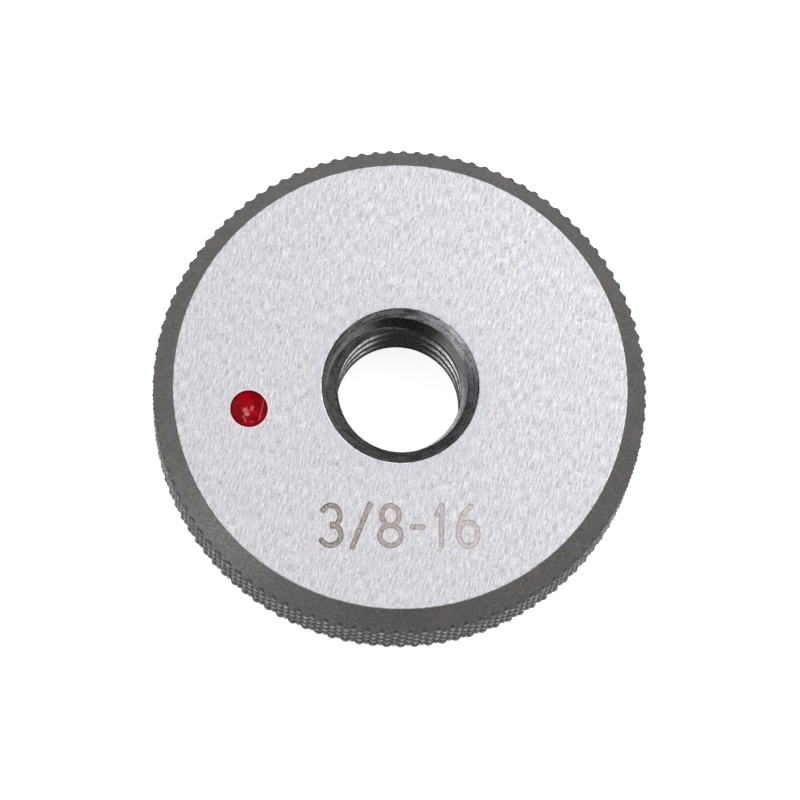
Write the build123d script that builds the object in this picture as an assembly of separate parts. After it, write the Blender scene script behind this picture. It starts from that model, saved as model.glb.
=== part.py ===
from build123d import *
from build123d.topology import SkipClean
import math
import os

# Solid thread ring gauge, no-go member, lying on its back face.
# Millimetres. The origin is on the bore axis in the plane of the back face. +Z points out of the
# marked face, and the mark on that face reads upright with +Y up.

# Blank
OUTER_DIAMETER = 32.0         # over the tips of the knurl
THICKNESS = 8.0
RIM_CHAMFER = 1.4             # 45 degrees, both ends of the rim

# Thread, 3/8-16 UNC no-go, right hand
THREAD_PITCH = 25.4 / 16
THREAD_PITCH_DIAMETER = 8.349
THREAD_MINOR_DIAMETER = 8.006 # over the crests, which are cut back to leave a wide flat
THREAD_ROOT_DIAMETER = 9.6    # clear of the 3/8 in major diameter
THREAD_FLANK_ANGLE = 30.0     # from the plane square to the axis
GROOVE_RISE = 0.496           # height of the groove's middle at +X, less whole pitches

# Countersinks, both ends of the bore
COUNTERSINK_DIAMETER = 10.2
COUNTERSINK_ANGLE = 80.0      # from side to side

# Diamond knurl
KNURL_TEETH = 109             # diamonds around the rim
KNURL_ROW_HEIGHT = 1.33       # length of one diamond along the axis
KNURL_DEPTH = 0.3

# Flat-bottomed dimple in the marked face, and the enamel that fills it
DIMPLE_DIAMETER = 2.4
DIMPLE_DEPTH = 0.6
DIMPLE_DISTANCE = 9.87        # from the bore axis
DIMPLE_BEARING = 189.3        # degrees anticlockwise from +X
ENAMEL_EDGE_DEPTH = 0.03      # the enamel meets the wall this far below the face
ENAMEL_HOLLOW_DEPTH = 0.25    # and sinks this much further to its middle

OUTER_RADIUS = OUTER_DIAMETER / 2
PITCH_RADIUS = THREAD_PITCH_DIAMETER / 2
MINOR_RADIUS = THREAD_MINOR_DIAMETER / 2
ROOT_RADIUS = THREAD_ROOT_DIAMETER / 2
FLANK_SLOPE = math.tan(math.radians(THREAD_FLANK_ANGLE))
COUNTERSINK_RADIUS = COUNTERSINK_DIAMETER / 2
COUNTERSINK_SLOPE = math.tan(math.radians(COUNTERSINK_ANGLE / 2))
DIMPLE_RADIUS = DIMPLE_DIAMETER / 2

STANDING = (Align.CENTER, Align.CENTER, Align.MIN)
SEAM_BEARING = 50.0           # degrees anticlockwise from +X, clear of the thread groove's own seam
OVERCUT = 0.5                 # how far a cutter reaches past the surface it enters by


def facet(*points):
    """A flat face with those corners."""
    return Face(Wire.make_polygon(points))


def on_rim(half_teeth, radius, height):
    """A point that many half teeth round from +X."""
    turn = math.pi * (half_teeth % (2 * KNURL_TEETH)) / KNURL_TEETH
    return (radius * math.cos(turn), radius * math.sin(turn), height)


def chamfered_outline():
    """Two 45 degree frustums, base to base, whose ends chamfer the rim.

    Each has one flat facet to a tooth, so it cuts the knurl's pyramids along straight lines.
    """
    end_radius = OUTER_RADIUS - RIM_CHAMFER
    middle_radius = end_radius + THICKNESS / 2
    steps = range(0, 2 * KNURL_TEETH, 2)
    faces = []
    for end in (0, THICKNESS):
        for step in steps:
            faces.append(
                facet(
                    on_rim(step, end_radius, end),
                    on_rim(step + 2, end_radius, end),
                    on_rim(step + 2, middle_radius, THICKNESS / 2),
                    on_rim(step, middle_radius, THICKNESS / 2),
                )
            )
        faces.append(facet(*[on_rim(step, end_radius, end) for step in steps]))
    return Solid(Shell(faces))


def groove_width(radius):
    """Width of the thread groove at that radius: half a pitch at the pitch diameter."""
    return THREAD_PITCH / 2 + 2 * (PITCH_RADIUS - radius) * FLANK_SLOPE


def thread_groove():
    """The helical groove between the crests of the thread, run out past both faces."""
    mouth_radius = MINOR_RADIUS - 0.1    # a little inside the bore, for a clean cut
    mouth, root = groove_width(mouth_radius), groove_width(ROOT_RADIUS)
    profile = Polyline(
        (mouth_radius, -mouth / 2),
        (ROOT_RADIUS, -root / 2),
        (ROOT_RADIUS, root / 2),
        (mouth_radius, mouth / 2),
        close=True,
    )
    path = Helix(pitch=THREAD_PITCH, height=THICKNESS + 2 * THREAD_PITCH, radius=MINOR_RADIUS)
    groove = sweep(Plane.XZ * make_face(profile), path=path, is_frenet=True)
    return Pos(0, 0, GROOVE_RISE - THREAD_PITCH) * groove


def countersinks():
    """The cutters that open the two ends of the bore."""
    height = (COUNTERSINK_RADIUS - MINOR_RADIUS) / COUNTERSINK_SLOPE + 2 * OVERCUT
    lower = Pos(0, 0, -OVERCUT) * Cone(
        bottom_radius=COUNTERSINK_RADIUS + OVERCUT * COUNTERSINK_SLOPE,
        top_radius=MINOR_RADIUS - OVERCUT * COUNTERSINK_SLOPE,
        height=height,
        align=STANDING,
    )
    upper = lower.mirror(Plane.XY.offset(THICKNESS / 2))
    return lower, upper


def dimple_place():
    """The middle of the dimple, in the plane of the marked face."""
    bearing = math.radians(DIMPLE_BEARING)
    return Pos(DIMPLE_DISTANCE * math.cos(bearing), DIMPLE_DISTANCE * math.sin(bearing), THICKNESS)


def dimple():
    """The flat-bottomed dimple in the marked face."""
    height = DIMPLE_DEPTH + OVERCUT
    return dimple_place() * Pos(0, 0, -DIMPLE_DEPTH) * Cylinder(DIMPLE_RADIUS, height, align=STANDING)


def enamel():
    """The enamel: it fills the dimple to just below the face, and its top sinks to the middle."""
    section = Polyline(
        (0, -DIMPLE_DEPTH),
        (DIMPLE_RADIUS, -DIMPLE_DEPTH),
        (DIMPLE_RADIUS, -ENAMEL_EDGE_DEPTH),
        (0, -ENAMEL_EDGE_DEPTH - ENAMEL_HOLLOW_DEPTH),
        close=True,
    )
    return dimple_place() * revolve(Plane.XZ * make_face(section), Axis.Z)


def knurled_bar():
    """A bar longer than the ring is thick, covered with the pyramids that crossed grooves leave.

    The tips stand in rows, each half a tooth round from the next. A tip's four corners lie at the
    bottom of the grooves, one on each side of it and one in each neighbouring row.
    """
    rows = 2 * (math.ceil(THICKNESS / KNURL_ROW_HEIGHT) + 1)
    half_row = KNURL_ROW_HEIGHT / 2
    lowest = (THICKNESS - rows * half_row) / 2
    root_radius = OUTER_RADIUS - KNURL_DEPTH

    def corner(half_teeth, row):
        return on_rim(half_teeth, root_radius, lowest + row * half_row)

    faces = []
    for row in range(1, rows):
        for tooth in range(KNURL_TEETH):
            step = 2 * tooth + row % 2
            tip = on_rim(step, OUTER_RADIUS, lowest + row * half_row)
            corners = [
                corner(step - 1, row),
                corner(step, row - 1),
                corner(step + 1, row),
                corner(step, row + 1),
            ]
            for first, second in zip(corners, corners[1:] + corners[:1]):
                faces.append(facet(tip, first, second))

    # Plain triangles fill the zigzag at each end, and a flat polygon closes it.
    for end, neighbour in ((0, 1), (rows, rows - 1)):
        steps = [2 * tooth + neighbour % 2 for tooth in range(KNURL_TEETH)]
        for step in steps:
            faces.append(facet(corner(step, end), corner(step + 1, neighbour), corner(step + 2, end)))
        faces.append(facet(*[corner(step, end) for step in steps]))
    return Solid(Shell(faces))


def ring_body():
    """The one-piece ring: bored, threaded, countersunk, dimpled, chamfered and knurled."""
    disc = Cylinder(OUTER_RADIUS + OVERCUT, THICKNESS, align=STANDING)
    bore = Cylinder(MINOR_RADIUS, THICKNESS, align=STANDING)
    ring = disc - thread_groove() - bore
    for countersink in countersinks():
        ring -= countersink
    ring -= dimple()

    # Two halves are joined again with their faces left apart, so that no face of the thread's crest
    # runs further round the bore than half a turn.
    seam = Plane.XZ.rotated((0, 0, SEAM_BEARING))
    first, second = split(ring, bisect_by=seam, keep=Keep.BOTH).solids()
    with SkipClean():
        return (first + second) & chamfered_outline() & knurled_bar()


os.makedirs("parts", exist_ok=True)
for name, solid in (("ring_body", ring_body()), ("enamel_dot", enamel())):
    export_step(solid, f"parts/{name}.step")
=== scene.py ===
"""Looks of the thread ring gauge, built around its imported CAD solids.

Lengths in the shape code are millimetres in the frame of the CAD part: +Z out of the marked face,
+Y up as the mark reads. They become metres when a mesh is made.
"""
import math

import bpy
import numpy as np
from mathutils import Matrix, Vector, noise
from mathutils.geometry import delaunay_2d_cdt


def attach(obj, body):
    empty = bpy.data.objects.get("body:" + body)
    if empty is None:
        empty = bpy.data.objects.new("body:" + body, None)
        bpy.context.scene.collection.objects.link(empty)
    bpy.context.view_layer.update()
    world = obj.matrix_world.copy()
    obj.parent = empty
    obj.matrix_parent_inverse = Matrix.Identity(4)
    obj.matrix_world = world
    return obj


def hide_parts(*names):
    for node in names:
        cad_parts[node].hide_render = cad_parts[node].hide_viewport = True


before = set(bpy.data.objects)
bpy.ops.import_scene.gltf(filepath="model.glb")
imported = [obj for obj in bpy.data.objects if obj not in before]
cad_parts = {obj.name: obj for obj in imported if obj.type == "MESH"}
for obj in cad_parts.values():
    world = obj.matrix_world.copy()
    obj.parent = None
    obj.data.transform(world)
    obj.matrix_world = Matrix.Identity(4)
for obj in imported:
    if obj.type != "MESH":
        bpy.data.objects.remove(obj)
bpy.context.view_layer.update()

MM = 0.001
THICKNESS = 8.0
OUTER_RADIUS = 16.0
RIM_CHAMFER = 1.4
FACE_RADIUS = OUTER_RADIUS - RIM_CHAMFER

# A worn corner between a face and the surface beside it, as two narrow bands
WORN_INSET = 0.045            # from the corner to where it starts on the face
WORN_DROP = 0.025             # and to where it ends below the face
WORN_MIDDLE_INSET = 0.005
WORN_MIDDLE_DROP = 0.008

PITCH = 25.4 / 16
TURNS = range(-3, 7)          # turns of the thread, run out past both faces
CREST_RADIUS = 4.003
GROOVE_START = 0.496          # height of the groove's middle at +X, less whole pitches
SINK_RADIUS = 5.1
SINK_SLOPE = math.tan(math.radians(40))    # radius lost to a millimetre of depth
BORE_FACE_RADIUS = SINK_RADIUS + WORN_INSET

TEETH = 109
ROW = 1.33
KNURL_DEPTH = 0.3
KNURL_SLOPE = 0.42            # share of a tooth that one side of a groove takes
KNURL_CELLS = 6               # mesh cells to a tooth and to a row
LOWEST_ROW = THICKNESS / 2 - 6 * ROW
CHAMFER_TOP = 1.47            # height below which the knurl may run out in the chamfer
WEAR_START = 1.0              # height above which the knurl is worn
PATCH_WEAR, SPOT_WEAR = 0.028, 0.02        # most that wear takes off the knurl
BORE_SIDES = TEETH * 4

DIMPLE_RADIUS = 1.2
DIMPLE_DEPTH = 0.6
DIMPLE_DISTANCE = 9.87
DIMPLE_BEARING = math.radians(189.3)
DIMPLE_X = DIMPLE_DISTANCE * math.cos(DIMPLE_BEARING)
DIMPLE_Y = DIMPLE_DISTANCE * math.sin(DIMPLE_BEARING)
DIMPLE_SIDES = 56
DIMPLE_MOUTH = DIMPLE_RADIUS + 0.02        # its edge is slightly worn
ENAMEL_SIDES = 64
ENAMEL_EDGE = 0.03
ENAMEL_HOLLOW = 0.25

# Kinds of face, in the order of the ring's materials
FACE, EDGE, BLACK, SINK, FLANK, SHADED_CREST, MARK_LINE, MARK_CORE, WELL = range(9)


class Shell:
    """Points and faces gathered into one mesh."""

    def __init__(self):
        self.points = []
        self.faces = []
        self.kinds = []

    def add(self, points):
        start = len(self.points)
        self.points.extend(tuple(float(c) for c in p) for p in points)
        return np.arange(start, len(self.points))

    def face(self, corners, kind):
        corners = [int(c) for c in corners]
        if len(set(corners)) == len(corners):
            self.faces.append(corners)
            self.kinds.append(kind)

    def quad(self, a, b, c, d, kind, cut_bd):
        """Two triangles, cut from a to c or from b to d."""
        if cut_bd:
            self.face((a, b, d), kind)
            self.face((b, c, d), kind)
        else:
            self.face((a, b, c), kind)
            self.face((a, c, d), kind)

    def band(self, lower, upper, kind):
        """Quads between two rings of as many points, seen from outside with the first below."""
        count = len(lower)
        for i in range(count):
            j = (i + 1) % count
            self.face((lower[i], lower[j], upper[j], upper[i]), kind)

    def build(self, name, materials, smooth=False):
        mesh = bpy.data.meshes.new(name)
        mesh.from_pydata([Vector(p) * MM for p in self.points], [], self.faces)
        for material in materials:
            mesh.materials.append(material)
        mesh.polygons.foreach_set("material_index", self.kinds)
        mesh.polygons.foreach_set("use_smooth", [smooth] * len(self.faces))
        mesh.validate()
        mesh.update()
        obj = bpy.data.objects.new(name, mesh)
        bpy.context.scene.collection.objects.link(obj)
        return obj


def ring_points(count, radius, height, x=0.0, y=0.0):
    turns = np.arange(count) * 2 * math.pi / count
    return np.c_[x + radius * np.cos(turns), y + radius * np.sin(turns), np.full(count, height)]


def knurl_rise(u, v):
    """Height of the knurl u teeth round and v rows up: 0 where its grooves cross, 1 on its flat crests."""
    def one_side(x):
        off = np.abs(x - np.round(x))
        return np.clip((0.5 - off) / KNURL_SLOPE, 0, 1)

    first, second = one_side(u + v), one_side(u - v)
    return 0.4 * np.minimum(first, second) + 0.3 * (first + second)


def rim(shell):
    """The knurled rim and its chamfers. Returns the rings where it meets the two faces."""
    count = TEETH * KNURL_CELLS
    step = ROW / KNURL_CELLS
    middle = LOWEST_ROW + step * np.arange(math.ceil((THICKNESS - LOWEST_ROW) / step))
    middle = middle[(middle > CHAMFER_TOP) & (middle < THICKNESS - CHAMFER_TOP)]
    low = np.r_[WORN_DROP, 0.3, 0.6, 0.9, np.linspace(1.06, 1.45, 11)]
    heights = np.r_[low, middle, (THICKNESS - low)[::-1]]
    turns = np.arange(count) * 2 * math.pi / count
    u = (np.arange(count) / KNURL_CELLS)[None, :]
    v = ((heights - LOWEST_ROW) / ROW)[:, None]
    rise = knurl_rise(u, v)
    radius = OUTER_RADIUS - KNURL_DEPTH * (1 - rise)
    wear = np.zeros_like(radius)
    for r, z in enumerate(heights):
        if WEAR_START < z < THICKNESS - WEAR_START:
            for c, t in enumerate(turns):
                at = Vector((OUTER_RADIUS * math.cos(t), OUTER_RADIUS * math.sin(t), z))
                patch = PATCH_WEAR * max(0, 0.4 + noise.noise(at * 1.3))
                wear[r, c] = patch + SPOT_WEAR * max(0, noise.noise(at * 3.1))
    radius = radius - wear * (0.25 + 0.75 * rise)
    chamfer = FACE_RADIUS + np.minimum(heights, THICKNESS - heights)[:, None]
    radius = np.minimum(radius, chamfer)
    inset, middle_inset = FACE_RADIUS - WORN_INSET, FACE_RADIUS - WORN_MIDDLE_INSET
    rings = [
        shell.add(ring_points(count, inset, 0.0)),
        shell.add(ring_points(count, middle_inset, WORN_MIDDLE_DROP)),
    ]
    for r, z in enumerate(heights):
        points = np.c_[radius[r] * np.cos(turns), radius[r] * np.sin(turns), np.full(count, z)]
        rings.append(shell.add(points))
    rings.append(shell.add(ring_points(count, middle_inset, THICKNESS - WORN_MIDDLE_DROP)))
    rings.append(shell.add(ring_points(count, inset, THICKNESS)))
    for lower in (0, 1, len(rings) - 3, len(rings) - 2):
        shell.band(rings[lower], rings[lower + 1], EDGE)
    for r in range(len(heights) - 1):
        v_mid = ((heights[r] + heights[r + 1]) / 2 - LOWEST_ROW) / ROW
        for c in range(count):
            d = (c + 1) % count
            u_mid = (c + 0.5) / KNURL_CELLS
            off_a = abs(u_mid + v_mid - round(u_mid + v_mid))
            off_b = abs(u_mid - v_mid - round(u_mid - v_mid))
            below, above = rings[r + 2], rings[r + 3]
            shell.quad(below[c], below[d], above[d], above[c], BLACK, off_a > off_b)
    return rings[0], rings[-1]


# The thread's section over one pitch: distance from the groove's middle, and depth below the crests.
HALF_PROFILE = [
    (0.0, 0.797), (0.036, 0.788), (0.09, 0.702), (0.18, 0.547), (0.28, 0.374), (0.38, 0.2), (0.46, 0.062),
    (0.49, 0.016), (0.525, 0.0),
]
PROFILE = [(-s, d) for s, d in HALF_PROFILE[:0:-1]] + HALF_PROFILE + [(PITCH / 2, 0.0)]
FLANK_EDGE = 0.5              # from the groove's middle to where the flank gives way to the crest


def sink(z):
    """Radius of the countersink's cone at that height."""
    return SINK_RADIUS - np.minimum(z, THICKNESS - z) * SINK_SLOPE


def bore(shell):
    """The threaded bore and its countersinks. Returns the rings where it meets the two faces."""
    count = BORE_SIDES
    turns = np.arange(count) * 2 * math.pi / count
    low, high = WORN_DROP, THICKNESS - WORN_DROP
    offsets = np.array([turn * PITCH + s for turn in TURNS for s, _ in PROFILE])
    thread = CREST_RADIUS + np.array([d for _ in TURNS for _, d in PROFILE])
    rows = len(offsets)
    bottom = shell.add(ring_points(count, sink(low), low))
    top = shell.add(ring_points(count, sink(high), high))
    index = np.zeros((count, rows), int)
    edge = np.zeros((count, rows), bool)
    for i, turn in enumerate(turns):
        z = GROOVE_START + PITCH * turn / (2 * math.pi) + offsets
        r = np.maximum(thread, sink(z))
        gap = sink(z) - thread
        for m in np.nonzero(np.sign(gap[:-1]) * np.sign(gap[1:]) < 0)[0]:
            t = gap[m] / (gap[m] - gap[m + 1])
            near = m if t < 0.5 else m + 1
            z_cut = z[m] + t * (z[m + 1] - z[m])
            if low < z_cut < high:
                z[near] = z_cut
                r[near] = sink(z_cut)
                edge[i, near] = True
        inside = (z > low) & (z < high)
        index[i] = np.where(z >= high, top[i], bottom[i])
        points = np.c_[r[inside] * math.cos(turn), r[inside] * math.sin(turn), z[inside]]
        index[i, inside] = shell.add(points)
    for i in range(count):
        j, jump = (i + 1, 0) if i + 1 < count else (0, len(PROFILE))
        for m in range(rows - 1 - jump):
            n = m + jump
            a, b, c, d = index[i, m], index[j, n], index[j, n + 1], index[i, m + 1]
            if a == d and b == c:
                continue
            offset = (offsets[m] + offsets[m + 1]) / 2
            z_mid = GROOVE_START + PITCH * (i + 0.5) / count + offset
            off = abs(offset / PITCH % 1 - round(offset / PITCH % 1))
            if sink(z_mid) > (thread[m] + thread[m + 1]) / 2:
                what = SINK
            else:
                what = FLANK if off * PITCH < FLANK_EDGE else SHADED_CREST
            shell.quad(d, c, b, a, what, not (edge[j, n] and edge[i, m + 1]))
    outer = []
    for ring, z, sign in ((bottom, 0.0, 1), (top, THICKNESS, -1)):
        shoulder_radius = SINK_RADIUS + WORN_MIDDLE_INSET
        shoulder = shell.add(ring_points(count, shoulder_radius, z + sign * WORN_MIDDLE_DROP))
        face = shell.add(ring_points(count, BORE_FACE_RADIUS, z))
        for inner, further in ((ring, shoulder), (shoulder, face)):
            if sign > 0:
                shell.band(inner, further, EDGE)
            else:
                shell.band(further, inner, EDGE)
        outer.append(face)
    return outer


# The mark: plain numbers in the place, the height and the line width of the etched mark.
MARK_LEFT, MARK_FOOT, MARK_HEIGHT = -5.1, -10.5, 2.62
MARK_WIDTH = 10.15
MARK_HALF_WIDTH = 0.18        # of a stroke
MARK_RIM = 0.075              # the darker line along each side of a stroke
MARK_DEPTH = 0.012


def arc(x, y, rx, ry, start, end, steps=14):
    """Points on an ellipse, degrees anticlockwise from +X."""
    turns = np.radians(np.linspace(start, end, steps))
    return [(x + rx * math.cos(t), y + ry * math.sin(t)) for t in turns]


# Strokes in a box one unit wide and high.
GLYPHS = {
    "3": [arc(0.44, 0.735, 0.40, 0.265, 150, -80), arc(0.42, 0.265, 0.47, 0.265, 80, -150)],
    "/": [[(0.08, -0.04), (0.92, 1.04)]],
    "8": [arc(0.5, 0.75, 0.37, 0.25, 90, 450, 25), arc(0.5, 0.255, 0.46, 0.255, 90, 450, 27)],
    "-": [[(0.15, 0.47), (0.85, 0.47)]],
    "1": [[(0.52, 0.0), (0.52, 1.0)], [(0.52, 1.0), (0.22, 0.77)]],
    "6": [arc(0.5, 0.30, 0.43, 0.30, 0, 360, 27), arc(0.98, 0.30, 0.91, 0.75, 180, 112)],
}
# Each figure and its width
MARK = [("3", 1.45), ("/", 1.35), ("8", 1.5), ("-", 1.05), ("1", 1.1), ("6", 1.45)]


def mark_strokes():
    """Centre lines of the mark on the face."""
    strokes, x = [], MARK_LEFT
    gap = (MARK_WIDTH - sum(width for _, width in MARK)) / (len(MARK) - 1)
    for glyph, width in MARK:
        for stroke in GLYPHS[glyph]:
            strokes.append([(x + width * u, MARK_FOOT + MARK_HEIGHT * v) for u, v in stroke])
        x += width + gap
    return strokes


def stroke_outline(stroke, half):
    """The closed outline of a stroke with round ends."""
    p = np.array(stroke)
    along = np.gradient(p, axis=0)
    along /= np.linalg.norm(along, axis=1)[:, None]
    side = np.c_[-along[:, 1], along[:, 0]] * half

    def cap(middle, start):
        turns = start - np.radians([36, 72, 108, 144])
        return [middle + half * np.array([math.cos(t), math.sin(t)]) for t in turns]

    turn_end = math.atan2(side[-1][1], side[-1][0])
    turn_start = math.atan2(-side[0][1], -side[0][0])
    points = [*(p + side), *cap(p[-1], turn_end), *(p - side)[::-1], *cap(p[0], turn_start)]
    return [tuple(q) for q in points]


def mark_distance(points, strokes):
    """Distance of each point from the nearest centre line."""
    points = np.atleast_2d(points)
    best = np.full(len(points), 1e9)
    for stroke in strokes:
        for a, b in zip(np.array(stroke[:-1]), np.array(stroke[1:])):
            t = np.clip((points - a) @ (b - a) / max((b - a) @ (b - a), 1e-12), 0, 1)
            best = np.minimum(best, np.linalg.norm(points - a - t[:, None] * (b - a), axis=1))
    return best


def inside_polygon(p, count, radius, x=0.0, y=0.0):
    """Whether a point is inside a regular polygon whose first corner is towards +X."""
    wedge = 2 * math.pi / count
    off = math.atan2(p[1] - y, p[0] - x) % wedge - wedge / 2
    return math.hypot(p[0] - x, p[1] - y) * math.cos(off) < radius * math.cos(wedge / 2)


def flat_face(shell, loops, height, keep, up, strokes=()):
    """Triangles between loops of points in one plane, with the mark's strokes sunk into it.

    A loop is the numbers of points that the shell has already, or None for new ones, and their places.
    """
    flat, edges, known = [], [], []
    for ids, points in loops:
        start = len(flat)
        flat.extend(Vector((p[0], p[1])) for p in points)
        known.extend(ids if ids is not None else [None] * len(points))
        edges.extend((start + i, start + (i + 1) % len(points)) for i in range(len(points)))
    verts, _, faces, origins, _, _ = delaunay_2d_cdt(flat, edges, [], 0, 1e-6, True)
    spots = np.array([(v.x, v.y) for v in verts])
    sunk = np.zeros(len(verts))
    middles = np.array([spots[list(corners)].mean(axis=0) for corners in faces])
    kinds = np.full(len(faces), FACE)
    if strokes:
        within = MARK_HALF_WIDTH - mark_distance(spots, strokes)
        sunk = MARK_DEPTH * np.clip(within / MARK_RIM, 0, 1)
        off = mark_distance(middles, strokes)
        kinds = np.where(off < MARK_HALF_WIDTH, MARK_LINE, FACE)
        kinds = np.where(off < MARK_HALF_WIDTH - MARK_RIM, MARK_CORE, kinds)
    ids = []
    for vert, origin, depth in zip(verts, origins, sunk):
        named = [known[o] for o in origin if known[o] is not None]
        ids.append(named[0] if named else shell.add([(vert.x, vert.y, height - depth)])[0])
    for corners, middle, kind in zip(faces, middles, kinds):
        if keep(middle):
            order = corners if up else corners[::-1]
            shell.face([ids[c] for c in order], int(kind))


def ring_mesh(materials):
    shell = Shell()
    rim_low, rim_high = rim(shell)
    bore_low, bore_high = bore(shell)
    mouth = shell.add(ring_points(DIMPLE_SIDES, DIMPLE_MOUTH, THICKNESS, DIMPLE_X, DIMPLE_Y))

    def loop(ids):
        return list(ids), [shell.points[int(i)] for i in ids]

    def off_bore(p):
        return not inside_polygon(p, BORE_SIDES, BORE_FACE_RADIUS)

    def keep_top(p):
        return off_bore(p) and not inside_polygon(p, DIMPLE_SIDES, DIMPLE_MOUTH, DIMPLE_X, DIMPLE_Y)

    strokes = mark_strokes()
    widths = (MARK_HALF_WIDTH, MARK_HALF_WIDTH - MARK_RIM)
    outlines = [(None, stroke_outline(stroke, half)) for stroke in strokes for half in widths]
    top_loops = [loop(rim_high), loop(bore_high), loop(mouth)] + outlines
    flat_face(shell, top_loops, THICKNESS, keep_top, True, strokes)
    flat_face(shell, [loop(rim_low), loop(bore_low)], 0.0, off_bore, False)
    wall_top = THICKNESS - (DIMPLE_MOUTH - DIMPLE_RADIUS)
    wall = shell.add(ring_points(DIMPLE_SIDES, DIMPLE_RADIUS, wall_top, DIMPLE_X, DIMPLE_Y))
    foot_height = THICKNESS - DIMPLE_DEPTH
    foot = shell.add(ring_points(DIMPLE_SIDES, DIMPLE_RADIUS, foot_height, DIMPLE_X, DIMPLE_Y))
    shell.band(mouth, wall, EDGE)
    shell.band(wall, foot, WELL)
    shell.face(foot, WELL)
    return shell.build("gauge_ring", materials)


def enamel_mesh(material):
    shell = Shell()

    def level(share, height):
        return shell.add(ring_points(ENAMEL_SIDES, DIMPLE_RADIUS * share, height, DIMPLE_X, DIMPLE_Y))

    rings = [level(1.0, THICKNESS - DIMPLE_DEPTH)]
    for share in (1.0, 0.985, 0.96, 0.92, 0.85, 0.75, 0.62, 0.5, 0.38, 0.27, 0.17, 0.09, 0.035):
        hollow = ENAMEL_HOLLOW * (1 - share**1.6)
        rings.append(level(share, THICKNESS - ENAMEL_EDGE - hollow))
    for lower, upper in zip(rings, rings[1:]):
        shell.band(lower, upper, 0)
    shell.face(rings[-1], 0)
    shell.face(rings[0][::-1], 0)
    return shell.build("red_enamel_dot", [material], smooth=True)


class Paint:
    """A node material whose patterns are laid out in millimetres."""

    def __init__(self, name, metallic, roughness):
        self.material = bpy.data.materials.new(name)
        self.material.use_nodes = True
        self.tree = self.material.node_tree
        self.shader = self.tree.nodes["Principled BSDF"]
        self.shader.inputs["Metallic"].default_value = metallic
        self.shader.inputs["Roughness"].default_value = roughness
        place = self.tree.nodes.new("ShaderNodeTexCoord")
        self.place = self.node("ShaderNodeVectorMath", "SCALE", place.outputs["Object"]).outputs[0]
        self.place.node.inputs["Scale"].default_value = 1 / MM

    def node(self, kind, operation=None, *inputs):
        made = self.tree.nodes.new(kind)
        if operation:
            made.operation = operation
        for socket, value in zip(made.inputs, inputs):
            if isinstance(value, bpy.types.NodeSocket):
                self.tree.links.new(value, socket)
            else:
                socket.default_value = value
        return made

    def math(self, operation, a, b=0.0):
        return self.node("ShaderNodeMath", operation, a, b).outputs[0]

    def moved(self, scale, turn=0.0, offset=(0, 0, 0)):
        """The place, turned about Z by degrees, then stretched."""
        angle = (0, 0, math.radians(turn))
        turned = self.node("ShaderNodeMapping", None, self.place, offset, angle, (1, 1, 1))
        return self.node("ShaderNodeVectorMath", "MULTIPLY", turned.outputs[0], scale).outputs[0]

    def noise(self, scale, turn=0.0, detail=2.0, offset=(0, 0, 0)):
        scale = scale if isinstance(scale, tuple) else (scale, scale, scale)
        made = self.tree.nodes.new("ShaderNodeTexNoise")
        self.tree.links.new(self.moved(scale, turn, offset), made.inputs["Vector"])
        made.inputs["Scale"].default_value = 1.0
        made.inputs["Detail"].default_value = detail
        return made.outputs["Fac"]

    def span(self, value, low, high, to_low=0.0, to_high=1.0):
        """The value's range from low to high, spread over another range and held at its ends."""
        return self.node("ShaderNodeMapRange", None, value, low, high, to_low, to_high).outputs[0]

    def mix(self, amount, first, second):
        made = self.tree.nodes.new("ShaderNodeMix")
        made.data_type = "RGBA"
        for socket, value in ((made.inputs[0], amount), (made.inputs[6], first), (made.inputs[7], second)):
            if isinstance(value, bpy.types.NodeSocket):
                self.tree.links.new(value, socket)
            elif isinstance(value, tuple):
                socket.default_value = (*value, 1)
            else:
                socket.default_value = value
        return made.outputs[2]

    def along(self, axis):
        """The place's x, y or z, for axis 0, 1 or 2."""
        return self.node("ShaderNodeSeparateXYZ", None, self.place).outputs[axis]

    def off_middle(self):
        """Height above or below the middle of the ring's thickness."""
        return self.math("ABSOLUTE", self.math("SUBTRACT", self.along(2), THICKNESS / 2))

    def radius(self):
        """Distance from the bore axis."""
        flat = self.node("ShaderNodeVectorMath", "MULTIPLY", self.place, (1, 1, 0)).outputs[0]
        return self.node("ShaderNodeVectorMath", "LENGTH", flat).outputs["Value"]

    def from_dot(self):
        """Distance from the axis of the red dot."""
        middle = (DIMPLE_X, DIMPLE_Y, 0)
        centred = self.node("ShaderNodeVectorMath", "SUBTRACT", self.place, middle).outputs[0]
        flat = self.node("ShaderNodeVectorMath", "MULTIPLY", centred, (1, 1, 0)).outputs[0]
        return self.node("ShaderNodeVectorMath", "LENGTH", flat).outputs["Value"]

    def streak(self, x, y, lean, half_length, half_width):
        """1 on a short straight scratch whose direction leans that many degrees from +Y to +X."""
        centred = self.node("ShaderNodeVectorMath", "SUBTRACT", self.place, (x, y, 0)).outputs[0]
        angle = (0, 0, math.radians(lean))
        turned = self.node("ShaderNodeMapping", None, centred, (0, 0, 0), angle, (1, 1, 1))
        parts = self.node("ShaderNodeSeparateXYZ", None, turned.outputs[0]).outputs
        across = self.span(self.math("ABSOLUTE", parts[0]), half_width * 0.4, half_width, 1, 0)
        along = self.span(self.math("ABSOLUTE", parts[1]), half_length * 0.6, half_length, 1, 0)
        return self.math("MULTIPLY", across, along)

    def colour(self, socket):
        self.tree.links.new(socket, self.shader.inputs["Base Color"])

    def rough(self, socket):
        self.tree.links.new(socket, self.shader.inputs["Roughness"])

    def bump(self, height, depth):
        """Relief of that many millimetres for a height from 0 to 1."""
        made = self.tree.nodes.new("ShaderNodeBump")
        made.inputs["Distance"].default_value = depth * MM
        self.tree.links.new(height, made.inputs["Height"])
        self.tree.links.new(made.outputs[0], self.shader.inputs["Normal"])


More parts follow.
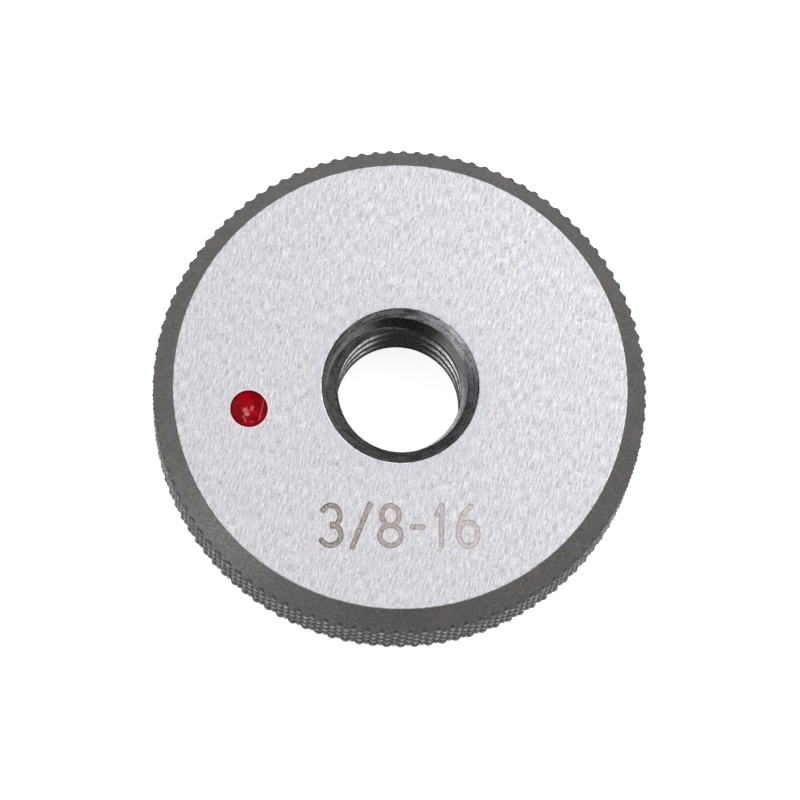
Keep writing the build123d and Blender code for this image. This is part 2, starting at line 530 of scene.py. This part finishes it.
def steel_colour(paint):
    """Ground steel: strokes that lean right, faint tints, a bluish band round the bore, small marks.

    The pink round the dot and the scratches are on the marked side alone. Returns the strokes as well.
    """
    fine = paint.noise((10.5, 1.4, 1), 13, 2)
    broad = paint.noise((6, 0.5, 1), 16, 2, (3, 7, 0))
    speck = paint.noise((16, 4.5, 1), 11, 1)
    strokes = paint.math("ADD", paint.math("MULTIPLY", fine, 0.52), paint.math("MULTIPLY", broad, 0.12))
    strokes = paint.math("ADD", strokes, paint.math("MULTIPLY", speck, 0.36))
    tint = paint.span(paint.noise((3, 0.8, 1), 14, 3, (11, 0, 0)), 0.34, 0.66)
    light = paint.mix(tint, (0.82, 0.82, 0.865), (0.845, 0.82, 0.85))
    dark = paint.mix(tint, (0.51, 0.51, 0.555), (0.53, 0.51, 0.535))
    colour = paint.mix(paint.span(strokes, 0.378, 0.622), dark, light)
    near_bore = paint.span(paint.radius(), SINK_RADIUS + 0.1, SINK_RADIUS + 1.5, 0.45, 0)
    colour = paint.mix(near_bore, colour, (0.60, 0.62, 0.69))
    marked_side = paint.span(paint.along(2), THICKNESS / 2 - 0.1, THICKNESS / 2 + 0.1, 0, 0.75)
    near_dot = paint.span(paint.from_dot(), DIMPLE_RADIUS + 0.02, DIMPLE_RADIUS + 0.16, 1.1, 0)
    colour = paint.mix(paint.math("MULTIPLY", marked_side, near_dot), colour, (0.95, 0.70, 0.71))
    for x, y, lean, half_length, half_width, tone in (
        (5.5, 12.3, 20, 0.38, 0.05, (0.36, 0.34, 0.36)),
        (7.95, 11.7, 35, 0.5, 0.06, (0.50, 0.55, 0.66)),
        (8.0, -9.1, 15, 0.42, 0.05, (0.36, 0.34, 0.36)),
        (-5.4, 9.3, 5, 0.12, 0.08, (0.35, 0.33, 0.36)),
        (-5.0, 9.7, 5, 0.09, 0.07, (0.35, 0.33, 0.36)),
        (-3.2, -6.1, -62, 1.3, 0.035, (0.58, 0.57, 0.62)),
        (-4.3, -5.6, -52, 1.1, 0.03, (0.88, 0.88, 0.90)),
        (10.4, 3.6, 16, 1.6, 0.04, (0.88, 0.88, 0.92)),
        (3.0, 9.4, 12, 1.5, 0.035, (0.56, 0.56, 0.62)),
        (-10.6, 4.6, 22, 1.0, 0.04, (0.55, 0.54, 0.60)),
    ):
        scratch = paint.streak(x, y, lean, half_length, half_width)
        colour = paint.mix(paint.math("MULTIPLY", scratch, marked_side), colour, tone)
    pits = paint.span(paint.noise(2.3, 0, 1, (5, 5, 0)), 0.735, 0.77, 0, 0.6)
    return paint.mix(pits, colour, (0.42, 0.40, 0.42)), strokes


def ground_steel():
    paint = Paint("ground_steel", 1.0, 0.42)
    colour, strokes = steel_colour(paint)
    paint.colour(colour)
    paint.rough(paint.span(strokes, 0.35, 0.65, 0.5, 0.36))
    paint.bump(strokes, 0.006)
    return paint.material


def bright_edge():
    paint = Paint("bright_edge", 1.0, 0.35)
    cloud = paint.span(paint.noise(3.0), 0.35, 0.6)
    paint.colour(paint.mix(cloud, (0.48, 0.47, 0.49), (0.90, 0.89, 0.91)))
    return paint.material


def black_oxide():
    """The chamfers and the knurl: painted shade in the knurl's grooves, and rubbed bright on its crests.
    """
    paint = Paint("black_oxide", 0.75, 0.45)
    speck = paint.noise(7.0, 0, 3)
    colour = paint.mix(paint.span(speck, 0.36, 0.66), (0.118, 0.113, 0.110), (0.172, 0.166, 0.162))
    warm = paint.span(paint.noise(0.7, 0, 2, (1, 8, 3)), 0.52, 0.7, 0, 0.4)
    cool = paint.span(paint.noise(0.8, 0, 2, (9, 2, 5)), 0.52, 0.7, 0, 0.4)
    colour = paint.mix(warm, colour, (0.205, 0.175, 0.15))
    colour = paint.mix(cool, colour, (0.155, 0.15, 0.185))
    for turn, offset in ((20, 0), (75, 4), (-40, 9)):
        rub = paint.span(paint.noise((14, 2.0, 2.0), turn, 1, (offset, 1, 2)), 0.70, 0.78, 0, 0.4)
        colour = paint.mix(rub, colour, (0.42, 0.41, 0.41))
    out = paint.math("ADD", paint.radius(), paint.off_middle())
    under_chamfer = paint.math("SUBTRACT", FACE_RADIUS + THICKNESS / 2, out)
    on_rim = paint.span(under_chamfer, 0.02, 0.12)
    crests = paint.span(paint.radius(), OUTER_RADIUS - 0.13, OUTER_RADIUS - 0.03)
    rubbed = paint.math("MULTIPLY", crests, paint.span(paint.noise(5.0, 0, 3), 0.38, 0.60))
    colour = paint.mix(paint.math("MULTIPLY", rubbed, on_rim), colour, (0.69, 0.66, 0.63))
    # Painted shade: the knurl's grooves are painted near black for the shade deep in them.
    pits = paint.span(paint.radius(), OUTER_RADIUS - 0.24, OUTER_RADIUS - 0.11, 1.0, 0)
    paint.colour(paint.mix(paint.math("MULTIPLY", on_rim, pits), colour, (0.022, 0.02, 0.022)))
    paint.rough(paint.span(speck, 0.35, 0.65, 0.52, 0.4))
    paint.bump(speck, 0.008)
    return paint.material


def countersink():
    """The turned cones: faint rings, dark spots, and two sides lighter by bearing, partly bare worn steel
    and partly painted light.
    """
    paint = Paint("countersink", 0.85, 0.36)
    speck = paint.noise(8.0, 0, 3)
    patch = paint.noise((1.1, 1.1, 3.0), 0, 3, (2, 0, 0))
    rings = paint.tree.nodes.new("ShaderNodeTexNoise")
    rings.noise_dimensions = "1D"
    rings.inputs["Scale"].default_value = 11.0
    paint.tree.links.new(paint.radius(), rings.inputs["W"])
    turned = paint.math("MULTIPLY", rings.outputs["Fac"], 0.25)
    value = paint.math("ADD", paint.math("MULTIPLY", speck, 0.4), turned)
    value = paint.math("ADD", value, paint.math("MULTIPLY", patch, 0.35))
    colour = paint.mix(paint.span(value, 0.43, 0.57), (0.065, 0.061, 0.065), (0.32, 0.315, 0.33))
    bare_and_lit_steel = paint.mix(paint.span(value, 0.42, 0.58), (0.22, 0.215, 0.235), (0.62, 0.61, 0.64))
    # Lighter towards two bearings, up and to the right and to the left: partly steel worn bare, partly
    # painted light where the light falls on the cones.
    for direction, amount in (((0.72, 0.69, 0), 0.85), ((-0.966, -0.259, 0), 0.36)):
        reach = paint.node("ShaderNodeVectorMath", "DOT_PRODUCT", paint.place, direction).outputs["Value"]
        worn_and_lit = paint.span(paint.math("DIVIDE", reach, paint.radius()), 0.72, 0.97, 0, amount)
        colour = paint.mix(worn_and_lit, colour, bare_and_lit_steel)
    spots = paint.span(paint.noise(5.0, 0, 2, (6, 1, 0)), 0.66, 0.72, 0, 0.8)
    paint.colour(paint.mix(spots, colour, (0.04, 0.036, 0.04)))
    paint.rough(paint.span(value, 0.35, 0.65, 0.46, 0.3))
    paint.bump(value, 0.012)
    return paint.material


def thread_flank():
    """Bright cut steel, darker towards both ends of the bore."""
    paint = Paint("thread_flank", 1.0, 0.28)
    grain = paint.noise((5, 5, 12), 0, 3)
    colour = paint.mix(paint.span(grain, 0.38, 0.62), (0.50, 0.49, 0.50), (0.84, 0.83, 0.84))
    stain = paint.span(paint.noise(2.4, 0, 2, (3, 3, 3)), 0.56, 0.68, 0, 0.6)
    colour = paint.mix(stain, colour, (0.24, 0.22, 0.23))
    end_darkening = paint.span(paint.off_middle(), 2.1, 2.5, 0, 0.85)
    paint.colour(paint.mix(end_darkening, colour, (0.10, 0.095, 0.10)))
    paint.rough(paint.span(grain, 0.35, 0.65, 0.32, 0.2))
    paint.bump(grain, 0.004)
    return paint.material


# Painted shade: the thread's crests are near black and not metallic, standing for the dark lines of shade
# along the thread rather than the colour of the cut steel.
def crest_painted_shade():
    paint = Paint("crest_painted_shade", 0.0, 0.6)
    grain = paint.noise(9.0, 0, 3)
    paint.colour(paint.mix(paint.span(grain, 0.38, 0.64), (0.012, 0.011, 0.012), (0.05, 0.048, 0.05)))
    paint.shader.inputs["Specular IOR Level"].default_value = 0.15
    paint.bump(grain, 0.01)
    return paint.material


def etched(name, dark, light, fullest, lost):
    """Etched steel: brown and grey under a fine hatch, fading to the right.

    The hatch covers the steel up to the share called fullest, less the share called lost at the right end.
    """
    paint = Paint(name, 0.4, 0.55)
    below = steel_colour(paint)[0]
    hatch = paint.noise((15, 3, 1), -25, 2)
    spot = paint.noise(5, 0, 2, (4, 2, 0))
    fade = paint.span(paint.along(0), -5.2, 5.2)
    ink = paint.mix(paint.span(spot, 0.46, 0.58), dark, light)
    ink = paint.mix(paint.math("MULTIPLY", fade, 0.85), ink, (0.42, 0.27, 0.17))
    hatched = paint.span(hatch, 0.38, 0.62, fullest, fullest * 0.55)
    cover = paint.math("SUBTRACT", hatched, paint.math("MULTIPLY", fade, lost))
    paint.colour(paint.mix(cover, below, ink))
    paint.tree.links.new(paint.span(cover, 0, 1, 1.0, 0.3), paint.shader.inputs["Metallic"])
    paint.rough(paint.span(cover, 0, 1, 0.42, 0.58))
    paint.bump(hatch, 0.01)
    return paint.material


def dimple_wall():
    paint = Paint("dimple_wall", 0.0, 0.5)
    cloud = paint.span(paint.noise(6.0), 0.35, 0.65)
    paint.colour(paint.mix(cloud, (0.035, 0.004, 0.006), (0.10, 0.01, 0.015)))
    return paint.material


def red_enamel():
    """Clouded enamel, dark at its rim, with one long scratch and four small painted highlights."""
    paint = Paint("red_enamel", 0.0, 0.22)
    cloud = paint.noise(1.7, 0, 3)
    colour = paint.mix(paint.span(cloud, 0.40, 0.60), (0.27, 0.0002, 0.004), (0.50, 0.0006, 0.010))
    edge = paint.span(paint.from_dot(), DIMPLE_RADIUS - 0.2, DIMPLE_RADIUS - 0.01, 0, 0.9)
    colour = paint.mix(edge, colour, (0.045, 0.002, 0.004))
    scratch = paint.streak(DIMPLE_X + 0.80, DIMPLE_Y - 0.10, 12.7, 0.8, 0.05)
    colour = paint.mix(paint.math("MULTIPLY", scratch, 0.6), colour, (0.80, 0.16, 0.18))
    ragged = paint.span(paint.noise(6.0, 0, 2, (1, 4, 2)), 0.40, 0.56, 0.5, 1.0)
    # Four painted highlights: pale patches in the enamel's colour, standing for reflections of the lamps
    # in fixed places.
    for x, y, lean, half_length, half_width, amount in (
        (-0.18, -0.17, -22, 0.34, 0.21, 0.80),
        (0.20, 0.06, 20, 0.22, 0.15, 0.50),
        (-0.30, -0.62, -24, 0.28, 0.07, 0.50),
        (0.20, -0.82, -60, 0.13, 0.06, 0.35),
    ):
        painted_highlight = paint.streak(DIMPLE_X + x, DIMPLE_Y + y, lean, half_length, half_width)
        painted_highlight = paint.math("MULTIPLY", paint.math("MULTIPLY", painted_highlight, ragged), amount)
        colour = paint.mix(painted_highlight, colour, (0.92, 0.30, 0.33))
    paint.colour(colour)
    paint.rough(paint.span(cloud, 0.35, 0.65, 0.16, 0.1))
    paint.bump(paint.noise(2.6, 0, 2, (7, 7, 7)), 0.02)
    paint.shader.inputs["Specular IOR Level"].default_value = 0.06
    return paint.material


ring_materials = [
    ground_steel(),
    bright_edge(),
    black_oxide(),
    countersink(),
    thread_flank(),
    crest_painted_shade(),
    etched("mark_line", (0.035, 0.028, 0.022), (0.25, 0.13, 0.05), 1.0, 0.36),
    etched("mark_core", (0.085, 0.072, 0.058), (0.36, 0.215, 0.10), 0.84, 0.46),
    dimple_wall(),
]
ring = ring_mesh(ring_materials)
dot = enamel_mesh(red_enamel())
for piece, node, slot in ((ring, "ring_body", "tool_steel"), (dot, "enamel_dot", "red_enamel")):
    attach(piece, "root")
    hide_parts(node)

# Floor: near white to the camera, dimmer in reflections, and pale enough to hold the object's shadow.
FLOOR_REACH = 2
FLOOR_HEIGHT = -0.00002       # a little under the back face, so that the two don't share a plane
floor_mesh = bpy.data.meshes.new("floor")
signs = ((-1, -1), (1, -1), (1, 1), (-1, 1))
corners = [(x * FLOOR_REACH, y * FLOOR_REACH, FLOOR_HEIGHT) for x, y in signs]
floor_mesh.from_pydata(corners, [], [(0, 1, 2, 3)])
floor = bpy.data.objects.new("floor", floor_mesh)
bpy.context.scene.collection.objects.link(floor)
paint = Paint("floor", 0.0, 0.8)
paint.shader.inputs["Base Color"].default_value = (0.8, 0.8, 0.8, 1)
paint.shader.inputs["Emission Color"].default_value = (1, 1, 1, 1)
path = paint.tree.nodes.new("ShaderNodeLightPath")
mirrored = paint.math("MAXIMUM", path.outputs["Is Glossy Ray"], path.outputs["Is Transmission Ray"])
seen = paint.math("MULTIPLY", path.outputs["Is Camera Ray"], 0.86)
glow = paint.math("ADD", seen, paint.math("MULTIPLY", mirrored, 0.22))
paint.tree.links.new(glow, paint.shader.inputs["Emission Strength"])
floor_mesh.materials.append(paint.material)

# Soft white surroundings with a dark card on the near side, as seen by the bright flanks.
world = bpy.data.worlds.new("world")
bpy.context.scene.world = world
world.use_nodes = True
nodes, links = world.node_tree.nodes, world.node_tree.links
direction = nodes.new("ShaderNodeTexCoord")
toward = nodes.new("ShaderNodeVectorMath")
toward.operation = "DOT_PRODUCT"
turn, rise = math.radians(273), math.radians(47)
card_middle = (math.cos(turn) * math.cos(rise), math.sin(turn) * math.cos(rise), math.sin(rise))
toward.inputs[1].default_value = card_middle
links.new(direction.outputs["Generated"], toward.inputs[0])
card = nodes.new("ShaderNodeMapRange")
card.interpolation_type = "SMOOTHSTEP"
for socket, value in zip(card.inputs[1:5], (0.83, 0.90, 0.84, 0.02)):
    socket.default_value = value
links.new(toward.outputs["Value"], card.inputs[0])
back_light = nodes["Background"]
back_light.inputs["Color"].default_value = (1, 1, 1, 1)
links.new(card.outputs[0], back_light.inputs["Strength"])


def lamp(name, place, size, power):
    """A round lamp that faces the middle of the ring."""
    target = Vector((0, 0, THICKNESS / 2 * MM))
    data = bpy.data.lights.new(name, "AREA")
    data.shape = "DISK"
    data.size = size
    data.energy = power
    obj = bpy.data.objects.new(name, data)
    obj.location = place
    obj.rotation_euler = (target - Vector(place)).to_track_quat("-Z", "Y").to_euler()
    bpy.context.scene.collection.objects.link(obj)


lamp("left", (-0.42, -0.26, 0.15), 0.24, 0.3)
lamp("right", (0.24, 0.08, 0.48), 0.30, 0.16)
lamp("small", (0.092, 0.181, 0.462), 0.02, 0.10)

# The camera stands where the photograph's did, by a fit to its circles.
CAMERA_PLACE = (-0.011455, -0.073954, 0.342573)
camera_data = bpy.data.cameras.new("camera")
camera_data.sensor_width = 36
camera_data.lens = 239.88
camera_data.clip_start = 0.01
camera = bpy.data.objects.new("camera", camera_data)
right = Vector((0.9994, 0, 0.0341)).normalized()
up = Vector((-0.0073, 0.977, 0.2129))
back = right.cross(up).normalized()
up = back.cross(right)
turned = Matrix((right, up, back)).transposed().to_4x4()
camera.matrix_world = Matrix.Translation(CAMERA_PLACE) @ turned
bpy.context.scene.collection.objects.link(camera)
bpy.context.scene.camera = camera
bpy.context.scene.view_settings.view_transform = "Standard"
